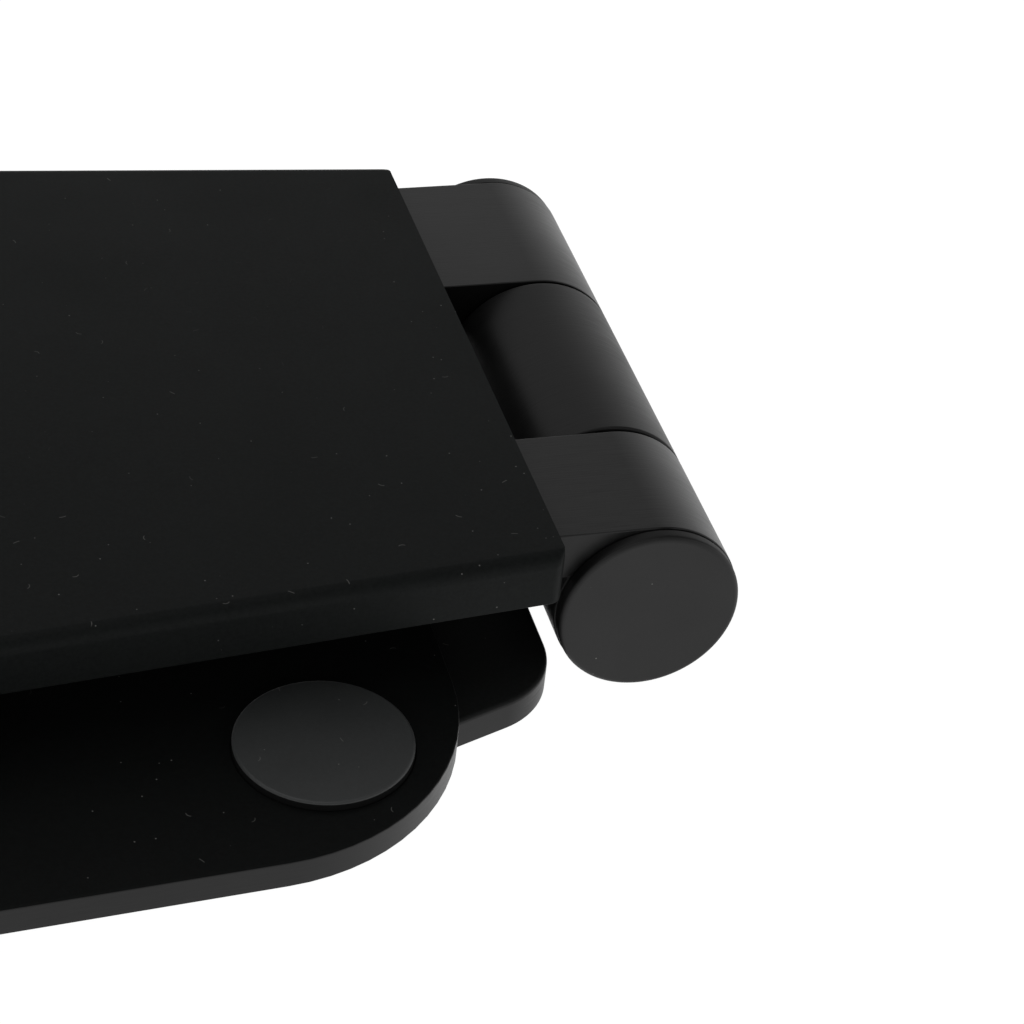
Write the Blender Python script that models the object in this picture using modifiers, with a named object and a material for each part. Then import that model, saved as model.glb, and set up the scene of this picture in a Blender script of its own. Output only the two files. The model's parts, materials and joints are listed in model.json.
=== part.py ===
"""Folding photo album stand: a weighted base, and a backrest on a friction hinge with a three-knuckle barrel.

Lengths below are millimetres, turned into metres by MM. Every piece is laid out from the hinge axis:
+X points to the rear of the stand, +Y along the axis, +Z up. The whole stand is then placed with its
origin at the centre of its footprint, on the surface it stands on. At rest the backrest is folded flat.
"""
import math

import bmesh
import bpy
from mathutils import Matrix, Vector

MM = 0.001
GAP = 0.3  # clearance between neighbouring pieces

# Levels above (+) and below (-) the hinge axis
TABLE_Z = -10.4
WEIGHT_BOTTOM, WEIGHT_TOP = -9.2, -5.85
PLATE_BOTTOM, PLATE_TOP = -5.55, -2.55
SHELL_BOTTOM, SHELL_TOP = 4.4, 10.1
SHELL_CEILING = 7.6
TONGUE_BOTTOM, TONGUE_TOP, TONGUE_FRONT_X = 5.5, 7.3, -34.0
LUG_BOTTOM = 4.2

# Hinge barrel, along Y
KNUCKLE_RADIUS = 9.35
CAP_RADIUS = 9.5
CAP_OUTER, CAP_INNER = 34.0, 32.7
OUTER_NEAR = (-32.4, -16.35)
MIDDLE = (-15.75, 11.35)
OUTER_FAR = (11.7, 32.4)
SHAFT_RADIUS, BORE_RADIUS = 3.0, 3.3
COUNTERBORE_RADIUS = 6.5
NEAR_COUNTERBORE_Y, FAR_COUNTERBORE_Y = -26.4, 19.4
WASHER_RECESS_RADIUS, WASHER_RECESS_DEPTH = 7.0, 1.2

# Base plate, weight plate and backrest outlines, seen from above
PLATE_REAR_X, PLATE_FRONT_X = -20.8, -125.0
PLATE_HALF_REAR, PLATE_HALF_FRONT = 58.3, 64.6
PLATE_CORNER = 21.4
PLATE_EDGE_BREAK = 0.35
WEIGHT_REAR_X, WEIGHT_FRONT_X = -9.1, -107.0
WEIGHT_HALF_REAR, WEIGHT_HALF = 36.2, 53.5
WEIGHT_SHOULDER_X = -57.0
WEIGHT_REAR_CORNER, WEIGHT_SHOULDER_CORNER, WEIGHT_FRONT_CORNER = 8.8, 14.0, 12.0
SHELL_REAR_X, SHELL_FRONT_X = -10.5, -108.0
SHELL_REAR_SLANT = 0.0125  # the rear end runs forward by this much for each millimetre to the left
SHELL_HALF_REAR, SHELL_HALF_FRONT = 36.28, 45.6
SHELL_FRONT_CORNER = 12.0
SHELL_WALL = 2.0
SHELL_EDGE_RADIUS = 1.4

# Small parts
PAD_RADIUS, PAD_RECESS_DEPTH, PAD_PROUD = 8.5, 0.8, 0.85
PAD_PLACES = {"rear": (-34.9, 45.2), "front": (-111.0, 49.6)}
FOOT_RADIUS = 7.5
FOOT_PLACES = {"rear": (-24.0, 31.0), "front": (-96.0, 44.0)}
SCREW_HEAD_RADIUS, SCREW_RADIUS, SCREW_HEAD_HEIGHT = 2.7, 1.45, 1.4
SCREW_RIM, SCREW_SOCKET_RADIUS, SCREW_SOCKET_DEPTH = 0.15, 1.0, 1.0
HEAD_SUNK = 0.05  # how far a screw head lies below the face around it
PLATE_SKIN, SHELL_SKIN = 1.2, 1.1  # metal left above the ends of the screws
HOOK_CENTRE_Y, HOOK_WIDTH, HOOK_THICKNESS = 32.0, 18.0, 2.0
HOOK_WALL_X, HOOK_LEG_END_X, HOOK_TOP = -127.5, -111.5, 7.8
SLEEVE_THICKNESS = 1.2
SPRING_WASHERS = 4

# The footprint runs from the front hooks' sleeves to the rear of the barrel
FOOTPRINT_FRONT_X = HOOK_WALL_X - GAP - SLEEVE_THICKNESS
FOOTPRINT_REAR_X = CAP_RADIUS
HINGE_X = -(FOOTPRINT_FRONT_X + FOOTPRINT_REAR_X) / 2
HINGE_PLACE = Vector((HINGE_X, 0, -TABLE_Z)) * MM

ROUND_FINE, ROUND_PLAIN, ROUND_SMALL = 64, 32, 12  # sides of round pieces
PLATE_ARC, WEIGHT_ARC, SHELL_ARC = 14, 10, 8  # steps in each rounded corner
PAST = 1.0  # how far a cutter reaches past the face that it opens


def clear_scene():
    for obj in list(bpy.data.objects):
        bpy.data.objects.remove(obj)


def collection(name):
    made = bpy.data.collections.new(name)
    bpy.context.scene.collection.children.link(made)
    return made


def metal(name, colour, roughness):
    return material(name, colour, roughness, 1.0)


def material(name, colour, roughness, metallic=0.0):
    made = bpy.data.materials.new(name)
    made.use_nodes = True
    shader = made.node_tree.nodes["Principled BSDF"]
    shader.inputs["Base Color"].default_value = (*colour, 1.0)
    shader.inputs["Roughness"].default_value = roughness
    shader.inputs["Metallic"].default_value = metallic
    return made


clear_scene()
STAND = collection("photo_album_stand")
CUTTERS = collection("cutters")
BLACK_ALUMINIUM = metal("black_anodised_aluminium", (0.012, 0.013, 0.013), 0.42)
BARREL_ALUMINIUM = metal("dark_brushed_aluminium", (0.035, 0.035, 0.035), 0.38)
CAP_PLASTIC = material("matte_black_plastic", (0.045, 0.045, 0.045), 0.6)
RUBBER = material("dark_grey_rubber", (0.06, 0.065, 0.065), 0.75)
BLACK_STEEL = metal("black_coated_steel", (0.02, 0.02, 0.02), 0.5)
BARE_STEEL = metal("bare_steel", (0.45, 0.45, 0.44), 0.3)
BRONZE = metal("bronze", (0.42, 0.27, 0.12), 0.35)


def pivot(name):
    """An empty on the hinge axis, which the pieces of one body hang from."""
    empty = bpy.data.objects.new(name, None)
    empty.location = HINGE_PLACE
    STAND.objects.link(empty)
    return empty


BASE = pivot("base_frame")
BACKREST = pivot("backrest_pivot")


def loose(name, bm):
    """A mesh object that isn't in the stand yet, from a bmesh laid out in millimetres."""
    bmesh.ops.transform(bm, matrix=Matrix.Scale(MM, 4), verts=bm.verts)
    bmesh.ops.recalc_face_normals(bm, faces=bm.faces)
    mesh = bpy.data.meshes.new(name)
    bm.to_mesh(mesh)
    bm.free()
    return bpy.data.objects.new(name, mesh)


def box(name, low, high):
    low, high = Vector(low), Vector(high)
    size = Matrix.Diagonal((*(high - low), 1.0))
    bm = bmesh.new()
    bmesh.ops.create_cube(bm, size=1.0)
    bmesh.ops.transform(bm, matrix=Matrix.Translation((low + high) / 2) @ size, verts=bm.verts)
    return loose(name, bm)


def cone(name, bottom_radius, top_radius, bottom, top, segments, place=(0, 0), along_y=False):
    """A frustum from bottom to top: upright at place (x, y), or along the hinge axis."""
    bm = bmesh.new()
    bmesh.ops.create_cone(
        bm, cap_ends=True, segments=segments, radius1=bottom_radius, radius2=top_radius, depth=top - bottom
    )
    matrix = Matrix.Translation((*place, (bottom + top) / 2))
    if along_y:
        half_step = Matrix.Rotation(math.pi / segments, 4, "Z")
        matrix = Matrix.Rotation(-math.pi / 2, 4, "X") @ matrix @ half_step
    bmesh.ops.transform(bm, matrix=matrix, verts=bm.verts)
    return loose(name, bm)


def rod(name, radius, bottom, top, segments, place=(0, 0), along_y=False):
    return cone(name, radius, radius, bottom, top, segments, place, along_y)


def fillet_outline(corners, segments):
    """Points round a closed outline of (x, y, radius) corners, each rounded by an arc of its radius."""
    points = []
    for i, (x, y, radius) in enumerate(corners):
        here = Vector((x, y))
        back = (Vector(corners[i - 1][:2]) - here).normalized()
        ahead = (Vector(corners[(i + 1) % len(corners)][:2]) - here).normalized()
        half = back.angle(ahead) / 2
        centre = here + (back + ahead).normalized() * (radius / math.sin(half))
        start = here + back * (radius / math.tan(half)) - centre
        end = here + ahead * (radius / math.tan(half)) - centre
        turn = start.angle_signed(end)
        for step in range(segments + 1):
            points.append(centre + Matrix.Rotation(-turn * step / segments, 2) @ start)
    return points


def slab(name, points, bottom, top):
    """A flat outline extruded from bottom to top: a filled 2D curve made a welded mesh."""
    curve = bpy.data.curves.new(name, "CURVE")
    curve.dimensions = "2D"
    curve.fill_mode = "BOTH"
    curve.extrude = (top - bottom) / 2 * MM
    spline = curve.splines.new("POLY")
    spline.points.add(len(points) - 1)
    for point, (x, y) in zip(spline.points, points):
        point.co = (x * MM, y * MM, 0, 1)
    spline.use_cyclic_u = True
    guide = bpy.data.objects.new(name + "_outline", curve)
    bpy.context.scene.collection.objects.link(guide)
    mesh = bpy.data.meshes.new_from_object(guide.evaluated_get(bpy.context.evaluated_depsgraph_get()))
    bpy.data.objects.remove(guide)
    bm = bmesh.new()
    bm.from_mesh(mesh)
    bmesh.ops.remove_doubles(bm, verts=bm.verts, dist=0.00001)
    bmesh.ops.transform(bm, matrix=Matrix.Translation((0, 0, (top + bottom) / 2 * MM)), verts=bm.verts)
    bmesh.ops.transform(bm, matrix=Matrix.Scale(1 / MM, 4), verts=bm.verts)
    bmesh.ops.dissolve_limit(bm, angle_limit=0.0005, verts=bm.verts, edges=bm.edges)
    bpy.data.meshes.remove(mesh)
    return loose(name, bm)


def round_level_edges(obj, level, radius, segments):
    """Rounds the edges that lie at one level round an outline."""
    bm = bmesh.new()
    bm.from_mesh(obj.data)
    edges = [
        e for e in bm.edges
        if all(abs(v.co.z - level * MM) < 1e-6 for v in e.verts) and e.calc_face_angle(0) > 1.0
    ]
    bmesh.ops.bevel(
        bm, geom=edges, offset=radius * MM, segments=segments, profile=0.5, affect="EDGES", clamp_overlap=True
    )
    bm.to_mesh(obj.data)
    bm.free()


def combine(obj, others, operation):
    """Joins or cuts with hidden helper objects, by exact Booleans."""
    for other in others:
        CUTTERS.objects.link(other)
        other.name = f"{obj.name}_{operation.lower()}_{len(obj.modifiers)}"
        other.parent = obj.parent
        other.hide_render = True
        other.display_type = "WIRE"
        step = obj.modifiers.new(operation.title(), "BOOLEAN")
        step.operation = operation
        step.solver = "EXACT"
        step.object = other


def piece(obj, look, parent, add=(), cut=(), smooth=40):
    """Puts an object in the stand with its material, joins and cuts."""
    STAND.objects.link(obj)
    obj.parent = parent
    obj.data.materials.append(look)
    combine(obj, add, "UNION")
    combine(obj, cut, "DIFFERENCE")
    obj.data.shade_smooth()
    obj.data.set_sharp_from_angle(angle=math.radians(smooth))
    return obj


def turned(name, profile, segments, look, parent, place=(0, 0, 0), along_y=False):
    """A turned piece: its (radius, height) profile runs down the outer side, swept by a Screw modifier."""
    mesh = bpy.data.meshes.new(name)
    count = len(profile)
    closed = profile[0][0] > 0
    edges = [(i, i + 1) for i in range(count - 1)] + ([(count - 1, 0)] if closed else [])
    mesh.from_pydata([(radius * MM, 0, height * MM) for radius, height in profile], edges, [])
    obj = bpy.data.objects.new(name, mesh)
    STAND.objects.link(obj)
    obj.parent = parent
    obj.location = Vector(place) * MM
    if along_y:
        obj.rotation_euler.x = -math.pi / 2
    obj.data.materials.append(look)
    sweep = obj.modifiers.new("Turn", "SCREW")
    sweep.steps = sweep.render_steps = segments
    sweep.use_merge_vertices = True
    sweep.merge_threshold = 0.00001
    sweep.use_smooth_shade = False
    return obj


def screw_holes(places, head_level, end_level, name):
    """Cutters for countersunk screws that go up from head_level to end_level."""
    wide, narrow = SCREW_HEAD_RADIUS + GAP, SCREW_RADIUS + GAP
    start, neck = head_level - HEAD_SUNK, head_level + SCREW_HEAD_HEIGHT + GAP
    cutters = []
    for i, place in enumerate(places):
        cutters.append(cone(f"{name}_sink_{i}", wide, narrow, start, neck, ROUND_SMALL, place))
        cutters.append(rod(f"{name}_hole_{i}", narrow, neck - GAP, end_level + GAP, ROUND_SMALL, place))
    return cutters


def screws(name, places, head_level, end_level, parent):
    """Countersunk screws with a socket in the head, one object each."""
    socket_top = head_level + SCREW_SOCKET_DEPTH
    for i, (x, y) in enumerate(places, 1):
        profile = [
            (0, end_level), (SCREW_RADIUS, end_level),
            (SCREW_RADIUS, head_level + SCREW_HEAD_HEIGHT), (SCREW_HEAD_RADIUS, head_level + SCREW_RIM),
            (SCREW_HEAD_RADIUS, head_level), (SCREW_SOCKET_RADIUS, head_level),
            (SCREW_SOCKET_RADIUS, socket_top), (0, socket_top),
        ]
        turned(f"{name}_{i}", profile, ROUND_SMALL, BLACK_STEEL, parent, (x, y, 0))


def four_places(places):
    """Mirrored left and right: front_left, front_right, rear_left and rear_right."""
    return {
        f"{end}_{side}": (x, sign * y)
        for end, (x, y) in places.items()
        for side, sign in (("left", 1), ("right", -1))
    }


HINGE_SCREWS = [(-15.0, y) for y in (-12.0, -2.4, 7.2)]
PLATE_SCREWS = [(-40.0, 30.0), (-40.0, -30.0), (-84.0, 24.0), (-84.0, -24.0)]
BRACKET_SCREWS = [(x, y) for x in (-17.0, -29.0) for y in (-24.0, 24.0)]
SCREW_BASE_LEVEL = WEIGHT_BOTTOM + HEAD_SUNK
SCREW_BASE_END = PLATE_TOP - PLATE_SKIN
BRACKET_SCREW_END = SHELL_TOP - SHELL_SKIN
HOOK_LEG_TOP = PLATE_BOTTOM - GAP
HOOK_LEG_BOTTOM = HOOK_LEG_TOP - HOOK_THICKNESS
HOOK_SCREW_OFFSETS = (-5.0, 5.0)
HOOK_SCREW_X = -117.0
HOOK_SCREW_LEVEL = HOOK_LEG_BOTTOM + HEAD_SUNK


def base_plate():
    """The visible top plate of the base, with recesses for the grip pads."""
    corners = [
        (PLATE_REAR_X, PLATE_HALF_REAR), (PLATE_REAR_X, -PLATE_HALF_REAR),
        (PLATE_FRONT_X, -PLATE_HALF_FRONT), (PLATE_FRONT_X, PLATE_HALF_FRONT),
    ]
    outline = fillet_outline([(x, y, PLATE_CORNER) for x, y in corners], PLATE_ARC)
    plate = slab("base_plate", outline, PLATE_BOTTOM, PLATE_TOP)
    round_level_edges(plate, PLATE_TOP, PLATE_EDGE_BREAK, 1)
    recess_bottom = PLATE_TOP - PAD_RECESS_DEPTH
    recesses = [
        rod(f"recess_{where}", PAD_RADIUS + GAP, recess_bottom, PLATE_TOP + PAST, ROUND_PLAIN, place)
        for where, place in four_places(PAD_PLACES).items()
    ]
    threads = [
        rod(f"thread_{i}", SCREW_RADIUS + GAP, PLATE_BOTTOM - PAST, SCREW_BASE_END + GAP, ROUND_SMALL, place)
        for i, place in enumerate(PLATE_SCREWS + hook_screw_places(1) + hook_screw_places(-1))
    ]
    piece(plate, BLACK_ALUMINIUM, BASE, cut=recesses + threads)


def base_weight():
    """The steel plate under the base plate, whose flared rear end carries the hinge."""
    corners = [
        (WEIGHT_REAR_X, WEIGHT_HALF_REAR, WEIGHT_REAR_CORNER),
        (WEIGHT_REAR_X, -WEIGHT_HALF_REAR, WEIGHT_REAR_CORNER),
        (WEIGHT_SHOULDER_X, -WEIGHT_HALF, WEIGHT_SHOULDER_CORNER),
        (WEIGHT_FRONT_X, -WEIGHT_HALF, WEIGHT_FRONT_CORNER),
        (WEIGHT_FRONT_X, WEIGHT_HALF, WEIGHT_FRONT_CORNER),
        (WEIGHT_SHOULDER_X, WEIGHT_HALF, WEIGHT_SHOULDER_CORNER),
    ]
    plate = slab("base_weight", fillet_outline(corners, WEIGHT_ARC), WEIGHT_BOTTOM, WEIGHT_TOP)
    round_level_edges(plate, WEIGHT_TOP, PLATE_EDGE_BREAK, 1)
    holes = screw_holes(HINGE_SCREWS + PLATE_SCREWS, SCREW_BASE_LEVEL, WEIGHT_TOP + PAST, "base_weight")
    piece(plate, BLACK_ALUMINIUM, BASE, cut=holes)


def base_hinge_bracket():
    """The middle knuckle, with the tongue that is screwed onto the weight plate."""
    near, far = MIDDLE
    inside_x, step = -SHAFT_RADIUS, 0.5
    knuckle = rod("base_hinge_bracket", KNUCKLE_RADIUS, near, far, ROUND_FINE, along_y=True)
    tongue = box("tongue", (PLATE_REAR_X + GAP, near, WEIGHT_TOP + GAP), (inside_x, far, PLATE_TOP))
    heel = box("heel", (WEIGHT_REAR_X + GAP, near, WEIGHT_BOTTOM), (inside_x, far, PLATE_TOP - step))
    recess = WASHER_RECESS_DEPTH
    cuts = [
        rod("bore", BORE_RADIUS, near - PAST, far + PAST, ROUND_PLAIN, along_y=True),
        rod("near_recess", WASHER_RECESS_RADIUS, near - PAST, near + recess, ROUND_PLAIN, along_y=True),
        rod("far_recess", WASHER_RECESS_RADIUS, far - recess, far + PAST, ROUND_PLAIN, along_y=True),
    ]
    holes = [
        rod(f"hole_{i}", SCREW_RADIUS + GAP, WEIGHT_BOTTOM, SCREW_BASE_END + GAP, ROUND_SMALL, place)
        for i, place in enumerate(HINGE_SCREWS)
    ]
    piece(knuckle, BARREL_ALUMINIUM, BASE, add=[tongue, heel], cut=cuts + holes, smooth=30)


def backrest_shell():
    """The tapered cover of the backrest: a shallow channel, open underneath and cut square at the hinge."""
    shell = slab("backrest_shell", backrest_outline(0, PAST), SHELL_BOTTOM, SHELL_TOP)
    round_level_edges(shell, SHELL_TOP, SHELL_EDGE_RADIUS, 4)
    reach = SHELL_HALF_FRONT
    square_end = slab("square_end", behind_shell(-reach, reach, 0), SHELL_BOTTOM - PAST, SHELL_TOP + PAST)
    pocket = slab("pocket", backrest_outline(SHELL_WALL, PAST), SHELL_BOTTOM - PAST, SHELL_CEILING)
    thread_radius, thread_end = SCREW_RADIUS + GAP, BRACKET_SCREW_END + GAP
    threads = [
        rod(f"thread_{i}", thread_radius, SHELL_CEILING - PAST, thread_end, ROUND_SMALL, place)
        for i, place in enumerate(BRACKET_SCREWS)
    ]
    piece(shell, BLACK_ALUMINIUM, BACKREST, cut=[square_end, pocket] + threads, smooth=50)


def behind_shell(start_y, end_y, gap):
    """The outline of what lies between the shell's rear end and the hinge axis, a gap away from the end."""
    start_x, end_x = (SHELL_REAR_X - SHELL_REAR_SLANT * y + gap for y in (start_y, end_y))
    return [Vector((start_x, start_y)), Vector((0, start_y)), Vector((0, end_y)), Vector((end_x, end_y))]


def backrest_outline(inset, past_rear):
    """The backrest's tapered outline moved inwards by inset, but reaching past_rear beyond its rear end."""
    slope = (SHELL_HALF_FRONT - SHELL_HALF_REAR) / (SHELL_REAR_X - SHELL_FRONT_X)
    rear_x = SHELL_REAR_X + past_rear
    front_x = SHELL_FRONT_X + inset
    half_rear = SHELL_HALF_REAR - slope * past_rear - inset
    half_front = SHELL_HALF_FRONT - slope * inset - inset
    corners = [
        (rear_x, half_rear, GAP), (rear_x, -half_rear, GAP),
        (front_x, -half_front, SHELL_FRONT_CORNER - inset), (front_x, half_front, SHELL_FRONT_CORNER - inset),
    ]
    return fillet_outline(corners, SHELL_ARC)


def backrest_liner():
    """The thin cover that closes the underside of the shell."""
    outline = backrest_outline(SHELL_WALL + GAP, -2 * GAP)
    liner = slab("backrest_liner", outline, SHELL_BOTTOM, TONGUE_BOTTOM - GAP)
    piece(liner, CAP_PLASTIC, BACKREST)


def backrest_bracket():
    """The two outer knuckles, whose lugs join a tongue inside the shell."""
    near, far = OUTER_NEAR[0], OUTER_FAR[1]
    neck_half = 2.0
    tongue_low = (TONGUE_FRONT_X, near, TONGUE_BOTTOM)
    tongue = box("backrest_bracket", tongue_low, (SHELL_REAR_X - neck_half / 2, far, TONGUE_TOP))
    joined = []
    for name, (start, end) in (("near", OUTER_NEAR), ("far", OUTER_FAR)):
        neck_low = (SHELL_REAR_X - neck_half, start, TONGUE_BOTTOM)
        neck_high = (SHELL_REAR_X + neck_half, end, TONGUE_TOP)
        joined.append(rod(f"{name}_knuckle", KNUCKLE_RADIUS, start, end, ROUND_FINE, along_y=True))
        joined.append(slab(f"{name}_lug", behind_shell(start, end, GAP), LUG_BOTTOM, KNUCKLE_RADIUS))
        joined.append(box(f"{name}_neck", neck_low, neck_high))
    bores = {
        "bore": (BORE_RADIUS, near - PAST, far + PAST),
        "near_counterbore": (COUNTERBORE_RADIUS, near - PAST, NEAR_COUNTERBORE_Y),
        "far_counterbore": (COUNTERBORE_RADIUS, FAR_COUNTERBORE_Y, far + PAST),
    }
    cuts = [rod(name, *sizes, ROUND_PLAIN, along_y=True) for name, sizes in bores.items()]
    holes = screw_holes(BRACKET_SCREWS, TONGUE_BOTTOM, TONGUE_TOP + PAST, "bracket")
    piece(tongue, BARREL_ALUMINIUM, BACKREST, add=joined, cut=cuts + holes, smooth=30)


def end_caps():
    """Round caps that plug the counterbores at both ends of the barrel."""
    boss_radius, boss_length, chamfer = COUNTERBORE_RADIUS - GAP, 2.0, 0.45
    thickness = CAP_OUTER - CAP_INNER
    profile = [
        (0, thickness), (CAP_RADIUS - chamfer, thickness), (CAP_RADIUS, thickness - chamfer),
        (CAP_RADIUS, 0), (boss_radius, 0), (boss_radius, -boss_length), (0, -boss_length),
    ]
    mirrored = [(radius, -height) for radius, height in reversed(profile)]
    turned("end_cap_left", profile, ROUND_FINE, CAP_PLASTIC, BACKREST, (0, CAP_INNER, 0), along_y=True)
    turned("end_cap_right", mirrored, ROUND_FINE, CAP_PLASTIC, BACKREST, (0, -CAP_INNER, 0), along_y=True)


def friction_pack():
    """The shaft through the barrel, and the washers and nut that give the hinge its drag."""
    head_radius, head_length = 5.5, 3.0
    start = NEAR_COUNTERBORE_Y - GAP
    nut_start, nut_length, nut_radius = 24.3, 4.5, 5.6
    shaft_end = nut_start + nut_length + 1.0
    shaft = [
        (0, shaft_end), (SHAFT_RADIUS, shaft_end), (SHAFT_RADIUS, start),
        (head_radius, start), (head_radius, start - head_length), (0, start - head_length),
    ]
    turned("hinge_shaft", shaft, ROUND_PLAIN, BARE_STEEL, BACKREST, along_y=True)
    drag_radius, recess_floor = WASHER_RECESS_RADIUS - GAP, WASHER_RECESS_DEPTH - GAP
    right_start, right_end = OUTER_NEAR[1] + GAP, MIDDLE[0] + recess_floor
    ring("friction_washer_right", drag_radius, right_start, right_end - right_start, BRONZE)
    ring("friction_washer_left", drag_radius, MIDDLE[1] - recess_floor, recess_floor, BRONZE)
    outer, thrust_thickness = COUNTERBORE_RADIUS - GAP, 0.8
    ring("thrust_washer", outer, FAR_COUNTERBORE_Y + GAP, thrust_thickness, BARE_STEEL)
    rise, thickness, pitch = 0.35, 0.45, 0.85
    first = FAR_COUNTERBORE_Y + thrust_thickness + 2 * GAP
    for i in range(SPRING_WASHERS):
        low = first + i * pitch
        profile = [
            (BORE_RADIUS, low + rise + thickness), (outer, low + thickness),
            (outer, low), (BORE_RADIUS, low + rise),
        ]
        turned(f"spring_washer_{i + 1}", profile, ROUND_PLAIN, BARE_STEEL, BACKREST, along_y=True)
    nut = rod("lock_nut", nut_radius, nut_start, nut_start + nut_length, 6, along_y=True)
    nut_end = nut_start + nut_length
    bore = rod("nut_bore", BORE_RADIUS, nut_start - PAST, nut_end + PAST, ROUND_PLAIN, along_y=True)
    piece(nut, BARE_STEEL, BACKREST, cut=[bore])


def ring(name, outer, start, thickness, look):
    """A flat washer round the shaft."""
    end = start + thickness
    profile = [(BORE_RADIUS, end), (outer, end), (outer, start), (BORE_RADIUS, start)]
    turned(name, profile, ROUND_PLAIN, look, BACKREST, along_y=True)


def pads_and_feet():
    """Round rubber grip pads in the base plate's recesses, and rubber feet under the weight plate."""
    pad_top = PLATE_TOP + PAD_PROUD
    pad_bottom = PLATE_TOP - PAD_RECESS_DEPTH + GAP
    edge = 0.3
    for where, place in four_places(PAD_PLACES).items():
        profile = [
            (0, pad_top), (PAD_RADIUS - edge, pad_top), (PAD_RADIUS, pad_top - edge),
            (PAD_RADIUS, pad_bottom), (0, pad_bottom),
        ]
        turned(f"grip_pad_{where}", profile, ROUND_PLAIN, RUBBER, BASE, (*place, 0))
    foot_top = WEIGHT_BOTTOM - GAP
    taper, chamfer = 0.6, 0.4
    for where, place in four_places(FOOT_PLACES).items():
        profile = [
            (0, foot_top), (FOOT_RADIUS, foot_top), (FOOT_RADIUS - taper, TABLE_Z + chamfer),
            (FOOT_RADIUS - taper - chamfer, TABLE_Z), (0, TABLE_Z),
        ]
        turned(f"foot_{where}", profile, ROUND_PLAIN, RUBBER, BASE, (*place, 0))


def hook_screw_places(sign):
    return [(HOOK_SCREW_X, sign * HOOK_CENTRE_Y + offset) for offset in HOOK_SCREW_OFFSETS]


def front_hooks():
    """Two upright hooks at the front edge, each with a rubber sleeve, that keep an album from sliding off."""
    wall_front, wall_rear = HOOK_WALL_X, HOOK_WALL_X + HOOK_THICKNESS
    cover = GAP + SLEEVE_THICKNESS
    for side, sign in (("left", 1), ("right", -1)):
        low = sign * HOOK_CENTRE_Y - HOOK_WIDTH / 2
        high = low + HOOK_WIDTH
        wall = box(f"front_hook_{side}", (wall_front, low, HOOK_LEG_BOTTOM), (wall_rear, high, HOOK_TOP))
        leg = box("leg", (wall_front, low, HOOK_LEG_BOTTOM), (HOOK_LEG_END_X, high, HOOK_LEG_TOP))
        places = hook_screw_places(sign)
        holes = screw_holes(places, HOOK_SCREW_LEVEL, HOOK_LEG_TOP + PAST, f"hook_{side}")
        piece(wall, BLACK_ALUMINIUM, BASE, add=[leg], cut=holes)
        sleeve_low = (wall_front - cover, low, PLATE_TOP + GAP)
        sleeve_high = (wall_rear + cover, high, HOOK_TOP + cover)
        sleeve = box(f"hook_sleeve_{side}", sleeve_low, sleeve_high)
        slot_low = (wall_front - GAP, low - PAST, PLATE_TOP - PAST)
        slot = box("slot", slot_low, (wall_rear + GAP, high + PAST, HOOK_TOP + GAP))
        piece(sleeve, RUBBER, BASE, cut=[slot])
        screws(f"hook_screw_{side}", places, HOOK_SCREW_LEVEL, SCREW_BASE_END, BASE)


base_plate()
base_weight()
base_hinge_bracket()
pads_and_feet()
front_hooks()
screws("hinge_screw", HINGE_SCREWS, SCREW_BASE_LEVEL, SCREW_BASE_END, BASE)
screws("plate_screw", PLATE_SCREWS, SCREW_BASE_LEVEL, SCREW_BASE_END, BASE)
backrest_shell()
backrest_liner()
backrest_bracket()
screws("bracket_screw", BRACKET_SCREWS, TONGUE_BOTTOM + HEAD_SUNK, BRACKET_SCREW_END, BACKREST)
friction_pack()
end_caps()
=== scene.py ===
"""Looks of the folding photo album stand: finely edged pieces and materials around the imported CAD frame."""

import json
import math

import bmesh
import bpy
from mathutils import Matrix, Vector

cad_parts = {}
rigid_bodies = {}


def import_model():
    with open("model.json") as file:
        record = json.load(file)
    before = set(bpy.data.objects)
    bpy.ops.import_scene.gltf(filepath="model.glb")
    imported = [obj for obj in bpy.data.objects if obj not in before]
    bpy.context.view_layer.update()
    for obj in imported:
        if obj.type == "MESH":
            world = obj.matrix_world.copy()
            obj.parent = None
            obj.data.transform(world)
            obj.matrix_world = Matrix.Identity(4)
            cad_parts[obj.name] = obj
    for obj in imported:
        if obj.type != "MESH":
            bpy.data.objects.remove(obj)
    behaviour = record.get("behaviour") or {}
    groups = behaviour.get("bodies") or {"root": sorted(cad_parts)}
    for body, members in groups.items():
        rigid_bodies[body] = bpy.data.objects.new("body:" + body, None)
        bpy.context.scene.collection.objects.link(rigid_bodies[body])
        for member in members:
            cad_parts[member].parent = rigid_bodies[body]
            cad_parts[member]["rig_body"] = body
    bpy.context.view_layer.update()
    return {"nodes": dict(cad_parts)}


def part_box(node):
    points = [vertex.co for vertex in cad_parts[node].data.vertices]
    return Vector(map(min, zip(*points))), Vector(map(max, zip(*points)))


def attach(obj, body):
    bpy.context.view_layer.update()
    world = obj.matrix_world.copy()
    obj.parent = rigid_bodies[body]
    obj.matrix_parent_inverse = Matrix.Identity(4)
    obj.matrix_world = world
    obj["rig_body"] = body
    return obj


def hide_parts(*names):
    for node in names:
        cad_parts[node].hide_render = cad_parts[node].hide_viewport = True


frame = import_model()

MM = 0.001
BOX = {name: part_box(name) for name in frame["nodes"]}
BODY = {name: obj["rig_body"] for name, obj in frame["nodes"].items()}

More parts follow.
